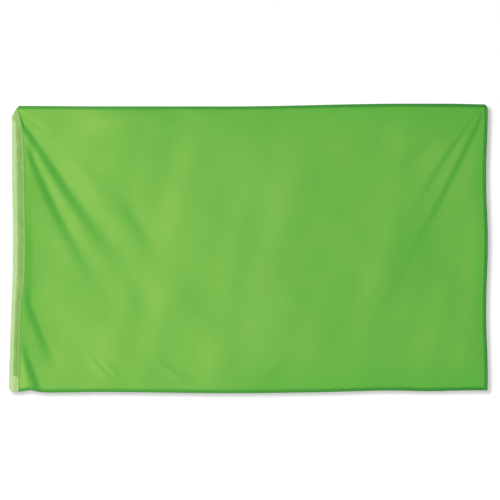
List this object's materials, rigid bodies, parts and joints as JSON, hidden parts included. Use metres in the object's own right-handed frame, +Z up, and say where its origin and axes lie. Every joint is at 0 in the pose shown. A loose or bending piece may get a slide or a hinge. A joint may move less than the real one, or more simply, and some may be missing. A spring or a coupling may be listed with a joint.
{
  "type": "rectangular flag",
  "caption": "Plain rectangular cloth flag, hemmed on three sides, with a folded tape pole sleeve sewn along the hoist.",
  "frame": {"origin": "on the axis of the pole channel, at the top end of the sleeve", "axes": "+X from the hoist to the fly, +Y to the back of the flag, +Z up along the pole"},
  "size_m": [1.5, 0.024, 0.9],
  "materials": {
    "green_cloth": "light satin, finely woven",
    "sleeve_tape": "matt, thin and slightly see-through",
    "sewing_thread": "twisted polyester thread"
  },
  "bodies": {
    "header": {"header_tape": "sleeve_tape", "hoist_allowance": "green_cloth", "header_inner_needle_thread": "sewing_thread", "header_inner_bobbin_thread": "sewing_thread", "header_outer_needle_thread": "sewing_thread", "header_outer_bobbin_thread": "sewing_thread"},
    "field": {"field_cloth": "green_cloth", "top_hem": "green_cloth", "bottom_hem": "green_cloth", "fly_hem": "green_cloth", "top_hem_needle_thread": "sewing_thread", "top_hem_bobbin_thread": "sewing_thread", "bottom_hem_needle_thread": "sewing_thread", "bottom_hem_bobbin_thread": "sewing_thread", "fly_inner_needle_thread": "sewing_thread", "fly_inner_bobbin_thread": "sewing_thread", "fly_outer_needle_thread": "sewing_thread", "fly_outer_bobbin_thread": "sewing_thread"}
  },
  "joints": [
    {"name": "field_swing", "type": "hinge", "parent": "header", "child": "field", "pos_m": [0.02205, 0, -0.45], "axis": [0, 0, 1], "range_deg": [-90, 90]}
  ]
}
